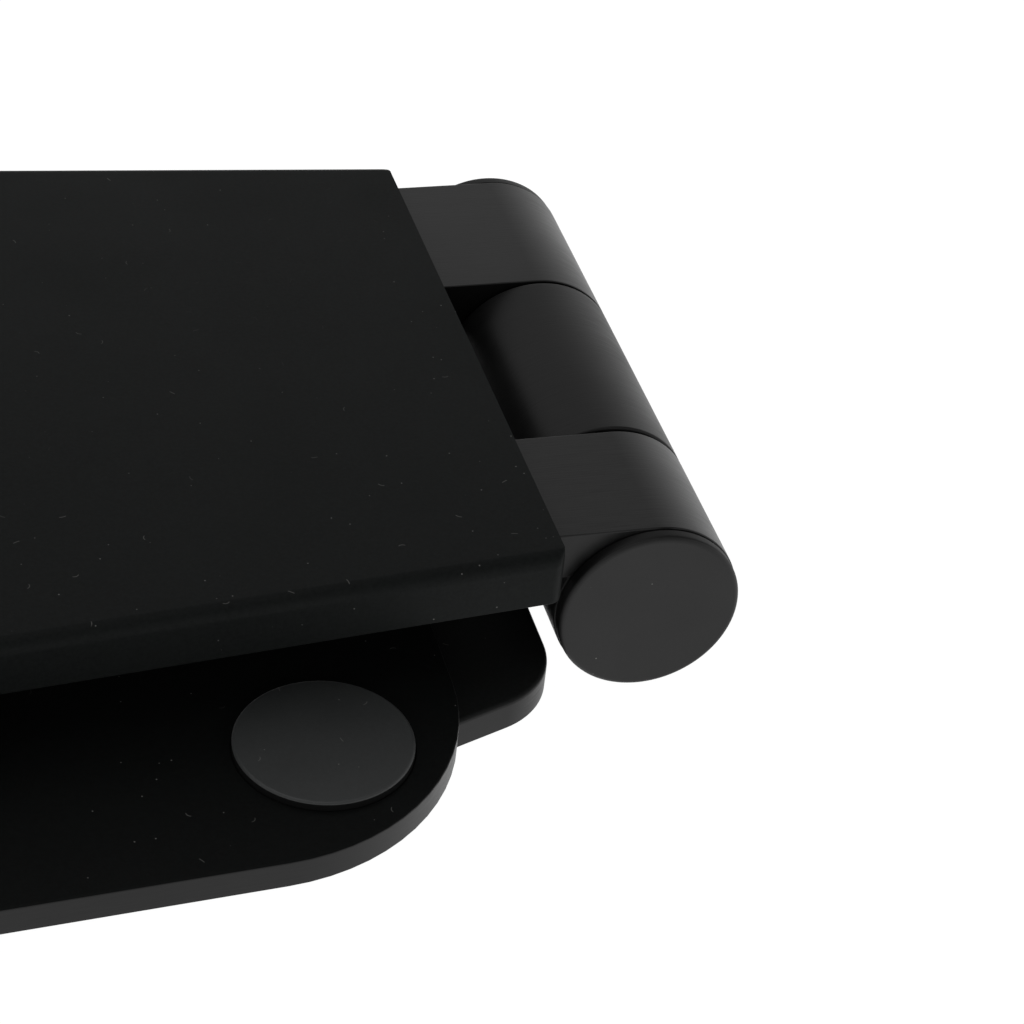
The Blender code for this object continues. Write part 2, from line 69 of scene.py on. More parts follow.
# Hinge axis and barrel, from the frame
CAP_INSET = 0.27 * MM  # how far a cap's rim stays inside its CAD solid
CAP_LOW, CAP_HIGH = BOX["end_cap_left"]
AXIS_X = (CAP_LOW.x + CAP_HIGH.x) / 2
AXIS_Z = (CAP_LOW.z + CAP_HIGH.z) / 2
AXIS = Vector((AXIS_X, 0, AXIS_Z))
CAP_RADIUS = (CAP_HIGH.z - CAP_LOW.z) / 2 - CAP_INSET
KNUCKLE_RADIUS = BOX["base_hinge_bracket"][1].z - AXIS_Z
PAD_RECESS_DEPTH = 0.8 * MM
GAP = BOX["grip_pad_rear_left"][0].z - (BOX["base_plate"][1].z - PAD_RECESS_DEPTH)

# Half widths, radii and depths that the frame's boxes don't give
PLATE_HALF_REAR, PLATE_HALF_FRONT = 58.3 * MM, 64.6 * MM
WEIGHT_HALF_REAR, WEIGHT_HALF = 36.2 * MM, 53.5 * MM
SHELL_HALF_REAR, SHELL_HALF_FRONT = 36.28 * MM, 45.6 * MM
SHELL_REAR_SLANT = 0.0125  # the rear end runs forward by this much for each millimetre to the left
SHELL_EDGE_RADIUS = 1.4 * MM
SHELL_FRONT_CORNER, SHELL_REAR_CORNER = 12.0 * MM, 1.4 * MM
SHELL_WALL, SHELL_ROOF = 2.0 * MM, 2.5 * MM
PLATE_CORNER = 21.4 * MM
WEIGHT_REAR_CORNER, WEIGHT_SHOULDER_CORNER, WEIGHT_FRONT_CORNER = 8.8 * MM, 14.0 * MM, 12.0 * MM
WEIGHT_SHOULDER_FROM_REAR = 47.9 * MM
PLATE_EDGE, WEIGHT_EDGE, UNDER_EDGE = 0.22 * MM, 0.5 * MM, 0.15 * MM
KNUCKLE_EDGE, MIDDLE_KNUCKLE_EDGE = 0.16 * MM, 0.28 * MM
PAD_CLEARANCE, PAD_EDGE = 0.12 * MM, 0.3 * MM
FOOT_EDGE, FOOT_BREAK, FOOT_TAPER = 0.45 * MM, 0.15 * MM, 0.2 * MM
FOOT_RIM_WIDTH, FOOT_DISH_SLOPE, FOOT_DISH = 1.9 * MM, 0.3 * MM, 0.25 * MM
HOOK_THICKNESS, HOOK_BEND = 2.0 * MM, 2.4 * MM
SLEEVE_WALL, SLEEVE_CORNER, SLEEVE_EDGE = 1.2 * MM, 1.6 * MM, 0.5 * MM
SHOULDER_RADIUS = 8.7 * MM  # shoulders inside the barrel narrow the gaps between its knuckles
SHOULDER_CLEARANCE = 0.12 * MM
OUTER_NEAR_END, OUTER_FAR_START = -16.35 * MM, 11.7 * MM  # the outer knuckles' ends at the middle one
BORE_RADIUS, COUNTERBORE_RADIUS, COUNTERBORE_DEPTH = 3.3 * MM, 6.5 * MM, 6.0 * MM
WASHER_RECESS_RADIUS, WASHER_RECESS_DEPTH = 7.0 * MM, 1.2 * MM
BRACKET_ROOT = 3.0 * MM  # the base bracket's tongue and heel run into the barrel up to this far from its axis
HEEL_STEP = 0.5 * MM
TONGUE_THICKNESS = 1.8 * MM
NECK_REACH = 2.0 * MM  # how far a neck reaches to each side of the backrest's rear end
LUG_DROP = 0.2 * MM  # how far a lug reaches below the backrest
CAP_EDGE, CAP_UNDER_EDGE, CAP_BOSS_EDGE = 0.6 * MM, 0.12 * MM, 0.4 * MM
LINER_EDGE, LINER_TOP_EDGE = 0.25 * MM, 0.05 * MM
POCKET_EDGE, POCKET_ROOF_EDGE = 0.1 * MM, 0.4 * MM
SEAT_SHANK, SEAT_HEIGHT = 0.55, 0.62  # a screw seat's hole and countersink, as shares of the head's radius
SEAT_LIP, SEAT_PAST = 0.1 * MM, 0.5 * MM
SCREW_HOLE_PAST = 3.0 * MM  # how far a hole in the weight plate goes on above its screw
SHANK, NECK_HEIGHT, SOCKET = 0.52, 0.58, 0.37  # shares of a screw head's radius
THREAD_PITCH, SCREW_TIP, SOCKET_DEPTH = 0.5 * MM, 0.25 * MM, 1.0 * MM
HEAD_BREAK, HEAD_RIM = 0.08 * MM, 0.2 * MM

LEAST_CORNER = 0.05 * MM
BLOCK_EDGE = 0.1 * MM
PAST = 1.0 * MM  # how far a cutter reaches past the face that it opens, and a joined block into its neighbour
FINE, ROUND, PAD_SEGMENTS, FOOT_SEGMENTS, SCREW_SEGMENTS, SEAT_SEGMENTS = 128, 64, 96, 64, 48, 32


# Outlines and bodies


def plan(corners, insets, height, steps=16):
    """A level ring of points: the outline of (x, y, radius) corners, each side moved in by its inset."""
    count = len(corners)
    points = [Vector((x, y)) for x, y, _ in corners]
    area = sum(points[i - 1].cross(points[i]) for i in range(count))
    side = -1 if area > 0 else 1
    lines = []
    for i in range(count):
        along = (points[(i + 1) % count] - points[i]).normalized()
        inward = Vector((along.y, -along.x)) * side
        lines.append((points[i] + inward * insets[i], along))
    ring = []
    for i, (_, _, radius) in enumerate(corners):
        (a, u), (b, v) = lines[i - 1], lines[i]
        corner = a + u * ((b - a).cross(v) / u.cross(v))
        rounded = max(radius - max(insets[i - 1], insets[i]), LEAST_CORNER)
        half = (-u).angle(v) / 2
        centre = corner + (v - u).normalized() * (rounded / math.sin(half))
        start = corner - u * (rounded / math.tan(half)) - centre
        turn = start.angle_signed(corner + v * (rounded / math.tan(half)) - centre)
        for step in range(steps + 1):
            ring.append(centre + Matrix.Rotation(-turn * step / steps, 2) @ start)
    return [Vector((x, y, height)) for x, y in ring]


def edge_levels(bottom, top, bottom_radius, top_radius, steps=5):
    """(level, inset) pairs up a wall whose bottom and top edges are rounded."""
    levels = [
        (bottom + bottom_radius * (1 - math.cos(math.pi / 2 * step / steps)),
         bottom_radius * (1 - math.sin(math.pi / 2 * step / steps)))
        for step in range(steps + 1)
    ]
    for step in range(steps + 1):
        angle = math.pi / 2 * step / steps
        levels.append((top - top_radius * (1 - math.sin(angle)), top_radius * (1 - math.cos(angle))))
    return levels


def body(name, rings):
    """A closed mesh through rings of equal count, with its ends filled."""
    bm = bmesh.new()
    rows = [[bm.verts.new(point) for point in ring] for ring in rings]
    for lower, upper in zip(rows, rows[1:]):
        for i in range(len(lower)):
            j = (i + 1) % len(lower)
            bm.faces.new((lower[i], lower[j], upper[j], upper[i]))
    bm.faces.new(rows[0])
    bm.faces.new(rows[-1])
    bmesh.ops.recalc_face_normals(bm, faces=bm.faces)
    mesh = bpy.data.meshes.new(name)
    bm.to_mesh(mesh)
    bm.free()
    obj = bpy.data.objects.new(name, mesh)
    bpy.context.scene.collection.objects.link(obj)
    return obj


def slab(name, corners, bottom, top, bottom_radius, top_radius, square_sides=()):
    """A plate with rounded edges. The sides numbered in square_sides keep sharp edges."""
    rings = []
    for level, inset in edge_levels(bottom, top, bottom_radius, top_radius):
        insets = [0 if i in square_sides else inset for i in range(len(corners))]
        rings.append(plan(corners, insets, level))
    return body(name, rings)


def turned_rings(profile, centre, along_y, segments):
    """Rings of a turned (radius, height) profile, upright at centre or along the hinge."""
    rings = []
    for radius, height in profile:
        ring = []
        for i in range(segments):
            angle = 2 * math.pi * i / segments
            u, v = radius * math.cos(angle), radius * math.sin(angle)
            ring.append(centre + (Vector((u, height, v)) if along_y else Vector((u, v, height))))
        rings.append(ring)
    return rings


def turned(name, profile, centre, along_y=False, segments=ROUND):
    return body(name, turned_rings(profile, centre, along_y, segments))


def arc(centre, radius, start, end, steps=5):
    """Points (across, up) on an arc, its angles in degrees."""
    angles = [math.radians(start + (end - start) * step / steps) for step in range(steps + 1)]
    return [(centre[0] + radius * math.cos(a), centre[1] + radius * math.sin(a)) for a in angles]


def combine(obj, other, operation):
    """An exact Boolean, applied, after which other is gone."""
    step = obj.modifiers.new(operation, "BOOLEAN")
    step.operation = operation
    step.solver = "EXACT"
    step.object = other
    mesh = bpy.data.meshes.new_from_object(obj.evaluated_get(bpy.context.evaluated_depsgraph_get()))
    obj.modifiers.clear()
    obj.data = mesh
    mesh.name = obj.name
    bpy.data.objects.remove(other)


def block(name, low, high):
    """A box with softened edges."""
    sides = ((low[0], low[1]), (high[0], low[1]), (high[0], high[1]), (low[0], high[1]))
    corners = [(x, y, BLOCK_EDGE) for x, y in sides]
    levels = edge_levels(low[2], high[2], BLOCK_EDGE, BLOCK_EDGE, 2)
    return body(name, [plan(corners, [inset] * 4, level, 3) for level, inset in levels])


def show(obj, nodes, looks, smooth=30):
    """Finishes a piece: it stands for its CAD nodes, rides their body and takes its material."""
    for look in looks:
        obj.data.materials.append(look)
    obj.data.shade_smooth()
    obj.data.set_sharp_from_angle(angle=math.radians(smooth))
    flat = obj.modifiers.new("Flat faces", "WEIGHTED_NORMAL")
    flat.keep_sharp = True
    flat.weight = 80
    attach(obj, BODY[nodes[0]])
    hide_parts(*nodes)


def paint_walls(obj, index=1, steepest=0.5):
    """Gives the faces that stand upright the material with that index."""
    for face in obj.data.polygons:
        if abs(face.normal.z) < steepest:
            face.material_index = index


# Materials

SHEET_DUST, SHEET_LINT = (0.15, 0.15, 0.145), (0.10, 0.10, 0.095)
MOULDED_DUST, MOULDED_LINT = (0.17, 0.17, 0.16), (0.11, 0.11, 0.105)
BARE_NICK = (0.5, 0.5, 0.48)
SPECKS_PER_METRE, SPECK_SIZE = 620, 0.055
LINT_HALF_WIDTH = (0.02 * MM, 0.055 * MM)  # full strength up to the first, gone at the second
# Widths of the lightened edges, which stand for wear and also paint a highlight line along edges
SHEET_WEAR_AND_HIGHLIGHT_WIDTH, WEAR_AND_HIGHLIGHT_WIDTH = 0.25 * MM, 0.2 * MM


class Look:
    """A material under construction: short calls for its texture nodes."""

    def __init__(self, name, roughness, metallic=0.0, specular=0.5):
        self.material = bpy.data.materials.new(name)
        self.material.use_nodes = True
        self.tree = self.material.node_tree
        self.shader = self.tree.nodes["Principled BSDF"]
        self.shader.inputs["Metallic"].default_value = metallic
        self.shader.inputs["Specular IOR Level"].default_value = specular
        self.shader.inputs["Roughness"].default_value = roughness
        self.place = self.node("ShaderNodeTexCoord").outputs["Object"]

    def node(self, kind, values=None, **settings):
        made = self.tree.nodes.new(kind)
        for key, value in settings.items():
            setattr(made, key, value)
        for key, value in (values or {}).items():
            if isinstance(value, bpy.types.NodeSocket):
                self.tree.links.new(value, made.inputs[key])
            else:
                made.inputs[key].default_value = value
        return made

    def noise(self, per_metre, detail=2.0, stretch=(1, 1, 1), roughness=0.5):
        scaled = self.node("ShaderNodeMapping", {"Vector": self.place, "Scale": stretch}).outputs["Vector"]
        values = {"Vector": scaled, "Scale": per_metre, "Detail": detail, "Roughness": roughness}
        return self.node("ShaderNodeTexNoise", values).outputs["Fac"]

    def span(self, value, low, high, to_low, to_high):
        values = {"Value": value, "From Min": low, "From Max": high, "To Min": to_low, "To Max": to_high}
        return self.node("ShaderNodeMapRange", values).outputs["Result"]

    def blend(self, factor, a, b):
        mixed = self.node("ShaderNodeMix", data_type="RGBA")
        colours = {6: a, 7: b}
        for index, colour in colours.items():
            if isinstance(colour, bpy.types.NodeSocket):
                self.tree.links.new(colour, mixed.inputs[index])
            else:
                mixed.inputs[index].default_value = (*colour, 1.0)
        self.tree.links.new(factor, mixed.inputs[0])
        return mixed.outputs[2]

    def multiply(self, a, b):
        return self.node("ShaderNodeMath", {0: a, 1: b}, operation="MULTIPLY").outputs[0]

    def specks(self, per_metre, size, share):
        """A mask of small round specks in a share of the cells."""
        voronoi = self.node("ShaderNodeTexVoronoi", {"Vector": self.place, "Scale": per_metre})
        near = self.span(voronoi.outputs["Distance"], size, size * 0.6, 0.0, 1.0)
        chosen = self.node("ShaderNodeSeparateColor", {"Color": voronoi.outputs["Color"]}).outputs[0]
        return self.multiply(near, self.span(chosen, 1 - share, 1 - share + 0.01, 0.0, 1.0))

    def size_of(self, value):
        return self.node("ShaderNodeMath", {0: value}, operation="ABSOLUTE").outputs[0]

    def lint(self, per_metre, length, share):
        """A mask of short curved fibres lying on level faces, one in a share of the cells."""
        grid = {"Vector": self.place, "Scale": per_metre}
        cells = self.node("ShaderNodeTexVoronoi", grid, voronoi_dimensions="2D").outputs
        ends = {0: self.place, 1: cells["Position"]}
        offset = self.node("ShaderNodeVectorMath", ends, operation="SUBTRACT").outputs[0]
        chance, heading, bow = self.node("ShaderNodeSeparateColor", {"Color": cells["Color"]}).outputs
        turn = {"Vector": offset, "Angle": self.span(heading, 0.0, 1.0, 0.0, 2 * math.pi)}
        fibre = self.node("ShaderNodeVectorRotate", turn, rotation_type="Z_AXIS").outputs[0]
        along, beside, _ = self.node("ShaderNodeSeparateXYZ", {0: fibre}).outputs
        bend = self.span(bow, 0.0, 1.0, -1.0 / length, 1.0 / length)
        curve = self.multiply(self.multiply(along, along), bend)
        across = self.node("ShaderNodeMath", {0: beside, 1: curve}, operation="SUBTRACT").outputs[0]
        thin = self.span(self.size_of(across), *LINT_HALF_WIDTH, 1.0, 0.0)
        short = self.span(self.size_of(along), length * 0.4, length * 0.5, 1.0, 0.0)
        chosen = self.span(chance, 1 - share, 1 - share + 0.01, 0.0, 1.0)
        normal = self.node("ShaderNodeTexCoord").outputs["Normal"]
        level = self.span(self.node("ShaderNodeSeparateXYZ", {0: normal}).outputs[2], 0.9, 0.97, 0.0, 1.0)
        return self.multiply(self.multiply(thin, short), self.multiply(chosen, level))

    def worn_and_highlight_edge(self, radius):
        """A mask that grows towards outside edges, broken up by noise: edge wear, and also a painted
        highlight line along edges.
        """
        rounded = self.node("ShaderNodeBevel", {"Radius": radius}, samples=4).outputs["Normal"]
        true = self.node("ShaderNodeNewGeometry").outputs["Normal"]
        both = {0: rounded, 1: true}
        same = self.node("ShaderNodeVectorMath", both, operation="DOT_PRODUCT").outputs["Value"]
        edge = self.span(same, 0.99, 0.75, 0.0, 1.0)
        return self.multiply(edge, self.span(self.noise(420, 4), 0.35, 0.65, 0.25, 1.0))

    def finish(self, colour, roughness, height=None, depth=0.0):
        self.tree.links.new(colour, self.shader.inputs["Base Color"])
        self.tree.links.new(roughness, self.shader.inputs["Roughness"])
        if height is not None:
            bump = self.node("ShaderNodeBump", {"Height": height, "Distance": depth, "Strength": 1.0})
            self.tree.links.new(bump.outputs["Normal"], self.shader.inputs["Normal"])
        return self.material


def shade(colour, factor):
    return tuple(c * factor for c in colour)


def coated(name, colour, roughness, specular, dust):
    """Black anodised or coated sheet: fine grain, faint clouds, a little dust, and edges lightened as wear
    and as a painted highlight.
    """
    look = Look(name, roughness, 0.0, specular)
    clouds = look.noise(38, 4)
    grain = look.noise(2600, 3, roughness=0.7)
    tone = look.blend(look.span(clouds, 0.3, 0.7, 0.0, 1.0), shade(colour, 0.86), shade(colour, 1.14))
    tone = look.blend(look.span(grain, 0.35, 0.65, 0.0, 0.6), tone, shade(colour, 1.7))
    # Lighter edges: wear, and partly a painted highlight
    tone = look.blend(look.worn_and_highlight_edge(SHEET_WEAR_AND_HIGHLIGHT_WIDTH), tone, shade(colour, 1.5))
    settled = look.span(clouds, 0.42, 0.58, 0.1, 0.9)
    specks = look.specks(SPECKS_PER_METRE, SPECK_SIZE, dust)
    tone = look.blend(look.multiply(specks, settled), tone, SHEET_DUST)
    fibres = look.lint(170, 0.7 * MM, dust * 0.5)
    tone = look.blend(look.multiply(fibres, settled), tone, SHEET_LINT)
    rough = look.span(look.noise(70, 5), 0.3, 0.7, roughness - 0.04, roughness + 0.05)
    return look.finish(tone, rough, grain, 0.0025 * MM)


def brushed(
    name, colour, roughness, specular, stretch, metallic=0.0, depth=0.004, contrast=0.35, wear_and_highlight=1.8, nicks=0.0
):
    """Brushed metal: fine streaks across the direction in which stretch is large. Its depth is in mm."""
    look = Look(name, roughness, metallic, specular)
    streaks = look.noise(5200, 3, stretch, 0.65)
    wide = look.noise(900, 3, stretch)
    clouds = look.noise(55, 4)
    dark, light = shade(colour, 1 - contrast), shade(colour, 1 + contrast)
    tone = look.blend(look.span(streaks, 0.3, 0.7, 0.0, 1.0), dark, light)
    tone = look.blend(look.span(wide, 0.35, 0.65, 0.0, 0.4), tone, shade(colour, 1.25))
    edge = look.worn_and_highlight_edge(WEAR_AND_HIGHLIGHT_WIDTH)
    # Lighter edges: wear, and partly a painted highlight
    tone = look.blend(edge, tone, shade(colour, wear_and_highlight))
    if nicks:
        tone = look.blend(look.multiply(edge, look.specks(170, 0.22, nicks)), tone, BARE_NICK)
    rough = look.span(look.multiply(streaks, clouds), 0.12, 0.4, roughness - 0.07, roughness + 0.07)
    return look.finish(tone, rough, streaks, depth * MM)


def moulded(name, colour, roughness, specular, grain_per_metre, depth, dust=0.0):
    """Matte plastic or rubber: a fine grain, its depth in mm, with faint clouds and a little dust."""
    look = Look(name, roughness, 0.0, specular)
    clouds = look.noise(60, 4)
    grain = look.noise(grain_per_metre, 3)
    tone = look.blend(look.span(clouds, 0.3, 0.7, 0.0, 1.0), shade(colour, 0.9), shade(colour, 1.1))
    tone = look.blend(look.span(grain, 0.35, 0.7, 0.0, 0.3), tone, shade(colour, 1.5))
    # Lighter edges: wear, and partly a painted highlight
    tone = look.blend(look.worn_and_highlight_edge(WEAR_AND_HIGHLIGHT_WIDTH), tone, shade(colour, 1.5))
    if dust:
        tone = look.blend(look.specks(SPECKS_PER_METRE, SPECK_SIZE, dust), tone, MOULDED_DUST)
        tone = look.blend(look.lint(260, 0.65 * MM, dust), tone, MOULDED_LINT)
    rough = look.span(look.noise(90, 4), 0.3, 0.7, roughness - 0.05, roughness + 0.05)
    return look.finish(tone, rough, grain, depth * MM)


AROUND_BARREL = (0.04, 1.0, 0.04)
LEVEL_LINES = (0.05, 0.05, 1.0)

SHELL_BLACK = coated("black_anodised_backrest", (0.0056, 0.0064, 0.0062), 0.48, 0.06, dust=0.8)
PLATE_BLACK = coated("black_anodised_plate", (0.0034, 0.0038, 0.0037), 0.42, 0.06, dust=0.4)
# Lighter than the plate's black to make up for the shade it lies in under the backrest: painted light
WEIGHT_BLACK_PAINTED_LIGHT = coated("black_weight_painted_light", (0.008, 0.0085, 0.0083), 0.5, 0.12, dust=0.2)
PLATE_EDGE_GREY = brushed("milled_black_edge", (0.006, 0.006, 0.006), 0.39, 0.24, LEVEL_LINES, contrast=0.5)
BARREL = brushed(
    "dark_brushed_barrel", (0.009, 0.009, 0.009), 0.38, 0.28, AROUND_BARREL,
    depth=0.01, contrast=0.6, nicks=0.3,
)
# A darker copy of the barrel's brushed metal for the middle knuckle: painted shade
MIDDLE_BARREL_PAINTED_SHADE = brushed(
    "brushed_middle_barrel_painted_shade", (0.0065, 0.0065, 0.0065), 0.45, 0.22, AROUND_BARREL,
    depth=0.01, contrast=0.6,
)
CAP = moulded("matte_cap_plastic", (0.008, 0.008, 0.008), 0.52, 0.30, 3200, 0.004, dust=0.15)
# A much darker copy of the barrel for the knuckle ends in the gaps beside the middle knuckle: painted shade
KNUCKLE_END_PAINTED_SHADE = moulded("knuckle_end_painted_shade", (0.0022, 0.0022, 0.0022), 0.6, 0.08, 3200, 0.004)
# The cap's own plastic darkened for its side and rim faces: painted shade
CAP_SIDE_PAINTED_SHADE = moulded("cap_side_painted_shade", (0.005, 0.005, 0.005), 0.5, 0.18, 3200, 0.004)
PAD_RUBBER = moulded("grey_pad_rubber", (0.027, 0.0288, 0.0288), 0.46, 0.5, 2600, 0.006, dust=0.35)
# The pad rubber darkened for its sides down in the recess: painted shade
PAD_SIDE_PAINTED_SHADE = moulded("pad_side_painted_shade", (0.004, 0.0042, 0.0042), 0.7, 0.12, 2600, 0.006)
BLACK_RUBBER = moulded("black_rubber", (0.011, 0.0115, 0.0115), 0.62, 0.3, 2200, 0.008, dust=0.04)
LINER_FELT = moulded("matte_liner", (0.010, 0.0105, 0.0105), 0.72, 0.2, 1500, 0.015)
SCREW_BLACK = brushed("black_coated_screw", (0.02, 0.02, 0.02), 0.38, 0.5, LEVEL_LINES, metallic=0.6)
STEEL = brushed(
    "bare_steel", (0.45, 0.45, 0.44), 0.28, 0.5, AROUND_BARREL,
    metallic=1.0, contrast=0.12, wear_and_highlight=1.15,
)
BRONZE = brushed(
    "sintered_bronze", (0.42, 0.27, 0.12), 0.36, 0.5, AROUND_BARREL,
    metallic=1.0, contrast=0.15, wear_and_highlight=1.15,
)


# Base


def base_plate():
    low, high = BOX["base_plate"]
    corners = [
        (high.x, PLATE_HALF_REAR, PLATE_CORNER), (high.x, -PLATE_HALF_REAR, PLATE_CORNER),
        (low.x, -PLATE_HALF_FRONT, PLATE_CORNER), (low.x, PLATE_HALF_FRONT, PLATE_CORNER),
    ]
    plate = slab("base_plate_sheet", corners, low.z, high.z, UNDER_EDGE, PLATE_EDGE)
    for side in ("rear_left", "rear_right", "front_left", "front_right"):
        pad_low, pad_high = BOX[f"grip_pad_{side}"]
        centre = (pad_low + pad_high) / 2
        radius = (pad_high.x - pad_low.x) / 2 + PAD_CLEARANCE
        profile = [(radius, pad_low.z - GAP), (radius, high.z + PAST)]
        recess = turned("recess", profile, Vector((centre.x, centre.y, 0)), segments=PAD_SEGMENTS)
        combine(plate, recess, "DIFFERENCE")
    paint_walls(plate)
    show(plate, ["base_plate"], [PLATE_BLACK, PLATE_EDGE_GREY])


def base_weight():
    low, high = BOX["base_weight"]
    shoulder_x = high.x - WEIGHT_SHOULDER_FROM_REAR
    corners = [
        (high.x, WEIGHT_HALF_REAR, WEIGHT_REAR_CORNER), (high.x, -WEIGHT_HALF_REAR, WEIGHT_REAR_CORNER),
        (shoulder_x, -WEIGHT_HALF, WEIGHT_SHOULDER_CORNER), (low.x, -WEIGHT_HALF, WEIGHT_FRONT_CORNER),
        (low.x, WEIGHT_HALF, WEIGHT_FRONT_CORNER), (shoulder_x, WEIGHT_HALF, WEIGHT_SHOULDER_CORNER),
    ]
    plate = slab("base_weight_plate", corners, low.z, high.z, UNDER_EDGE, WEIGHT_EDGE)
    for name in frame["nodes"]:
        if name.startswith(("hinge_screw", "plate_screw")):
            cut_screw_seat(plate, name, low.z, SCREW_HOLE_PAST)
    paint_walls(plate)
    # The weight's top takes the lightened black: painted light
    show(plate, ["base_weight"], [WEIGHT_BLACK_PAINTED_LIGHT, PLATE_EDGE_GREY])


def cut_screw_seat(piece, name, bottom, past):
    """The countersink and hole that a screw goes up through, past its end."""
    low, high = BOX[name]
    radius = (high.x - low.x) / 2
    centre = (low + high) / 2
    hole = radius * SEAT_SHANK + GAP
    profile = [
        (radius + GAP, bottom - SEAT_PAST), (radius + GAP, bottom + SEAT_LIP),
        (hole, bottom + radius * SEAT_HEIGHT), (hole, high.z + past),
    ]
    seat = turned("seat", profile, Vector((centre.x, centre.y, 0)), segments=SEAT_SEGMENTS)
    combine(piece, seat, "DIFFERENCE")


def grip_pads_and_feet():
    for name in frame["nodes"]:
        low, high = BOX[name]
        centre = Vector(((low.x + high.x) / 2, (low.y + high.y) / 2, 0))
        radius = (high.x - low.x) / 2
        if name.startswith("grip_pad"):
            profile = [(radius, low.z)] + arc((radius - PAD_EDGE, high.z - PAD_EDGE), PAD_EDGE, 0, 90)
            pad = turned(f"{name}_disc", profile, centre, segments=PAD_SEGMENTS)
            # The pad's upright sides get the darker rubber: painted shade
            paint_walls(pad, steepest=0.2)
            show(pad, [name], [PAD_RUBBER, PAD_SIDE_PAINTED_SHADE])
        elif name.startswith("foot"):
            rim = radius - FOOT_RIM_WIDTH
            profile = [(rim - FOOT_DISH_SLOPE, low.z + FOOT_DISH), (rim, low.z)]
            profile += arc((radius - FOOT_TAPER - FOOT_EDGE, low.z + FOOT_EDGE), FOOT_EDGE, -90, 0)
            profile += [(radius, low.z + 2 * FOOT_DISH), (radius, high.z - FOOT_BREAK)]
            profile.append((radius - FOOT_BREAK, high.z))
            foot = turned(f"{name}_button", profile, centre, segments=FOOT_SEGMENTS)
            show(foot, [name], [BLACK_RUBBER])


def strip_rings(section, low_y, high_y, edge):
    """Rings along Y of a section given as a function of y and its inset, with rounded ends."""
    levels = edge_levels(low_y, high_y, edge, edge, 3)
    return [[Vector((x, y, z)) for x, z in section(y, inset)] for y, inset in levels]


def front_hooks():
    """Bent strips with rounded top corners, in rubber sleeves."""
    thick, bend = HOOK_THICKNESS, HOOK_BEND
    for side in ("left", "right"):
        low, high = BOX[f"front_hook_{side}"]

        def section(_, inset):
            outer = arc((low.x + bend, low.z + bend), bend - inset, 180, 270, 8)
            inner = arc((low.x + bend, low.z + bend), bend - thick + inset, 270, 180, 8)
            leg_end = [(high.x - inset, low.z + inset), (high.x - inset, low.z + thick - inset)]
            front_top = (low.x + inset, high.z - inset)
            rear_top = (low.x + thick - inset, high.z - inset)
            return [front_top, *outer, *leg_end, *inner, rear_top]

        hook = body(f"front_hook_{side}_strip", strip_rings(section, low.y, high.y, UNDER_EDGE))
        for index in (1, 2):
            cut_screw_seat(hook, f"hook_screw_{side}_{index}", low.z, 0.0)
        show(hook, [f"front_hook_{side}"], [SHELL_BLACK])
        hook_sleeve(side)


def hook_sleeve(side):
    """A dipped rubber cap: rounded outside, with a slot for the hook."""
    low, high = BOX[f"hook_sleeve_{side}"]
    radius, wall = SLEEVE_CORNER, SLEEVE_WALL

    def section(_, inset):
        return (
            [(low.x + inset, low.z + inset), (high.x - inset, low.z + inset)]
            + arc((high.x - radius, high.z - radius), radius - inset, 0, 90, 8)
            + arc((low.x + radius, high.z - radius), radius - inset, 90, 180, 8)
        )

    sleeve = body(f"hook_sleeve_{side}_cap", strip_rings(section, low.y, high.y, SLEEVE_EDGE))
    slot_low = (low.x + wall, low.y - PAST, low.z - PAST)
    slot_high = (high.x - wall, high.y + PAST, high.z - wall)
    combine(sleeve, block("slot", slot_low, slot_high), "DIFFERENCE")
    show(sleeve, [f"hook_sleeve_{side}"], [BLACK_RUBBER])


# Hinge


def bore(obj, radius, start, end):
    combine(obj, turned("bore", [(radius, start), (radius, end)], AXIS, True), "DIFFERENCE")


def knuckle_gap(end):
    """Where the gap between the middle knuckle and its neighbour starts and ends, along Y."""
    middle_low, middle_high = BOX["base_hinge_bracket"]
    return (OUTER_NEAR_END, middle_low.y) if end == "near" else (middle_high.y, OUTER_FAR_START)


def shoulder_reach(end):
    start, stop = knuckle_gap(end)
    return (stop - start - SHOULDER_CLEARANCE) / 2


def base_hinge_bracket():
    """The middle knuckle and its foot on the weight plate."""
    low, high = BOX["base_hinge_bracket"]
    edge = MIDDLE_KNUCKLE_EDGE
    profile = [(SHOULDER_RADIUS, low.y - shoulder_reach("near")), (SHOULDER_RADIUS, low.y)]
    profile += [(KNUCKLE_RADIUS - inset, y) for y, inset in edge_levels(low.y, high.y, edge, edge, 4)]
    profile += [(SHOULDER_RADIUS, high.y), (SHOULDER_RADIUS, high.y + shoulder_reach("far"))]
    knuckle = turned("base_knuckle", profile, AXIS, True, FINE)
    plate_top = BOX["base_plate"][1].z
    weight_low, weight_high = BOX["base_weight"]
    root = AXIS_X - BRACKET_ROOT
    tongue = block("tongue", (low.x, low.y, weight_high.z + GAP), (root, high.y, plate_top))
    heel = block("heel", (weight_high.x + GAP, low.y, weight_low.z), (root, high.y, plate_top - HEEL_STEP))
    combine(knuckle, tongue, "UNION")
    combine(knuckle, heel, "UNION")
    bore(knuckle, BORE_RADIUS, low.y - PAST, high.y + PAST)
    bore(knuckle, WASHER_RECESS_RADIUS, low.y - PAST, low.y + WASHER_RECESS_DEPTH)
    bore(knuckle, WASHER_RECESS_RADIUS, high.y - WASHER_RECESS_DEPTH, high.y + PAST)
    # The middle knuckle takes the darker barrel copy: painted shade
    show(knuckle, ["base_hinge_bracket"], [MIDDLE_BARREL_PAINTED_SHADE])


def shell_rear_x(y):
    """Where the backrest's slanted rear end is at y."""
    return BOX["backrest_shell"][1].x - SHELL_REAR_SLANT * (y + SHELL_HALF_REAR)


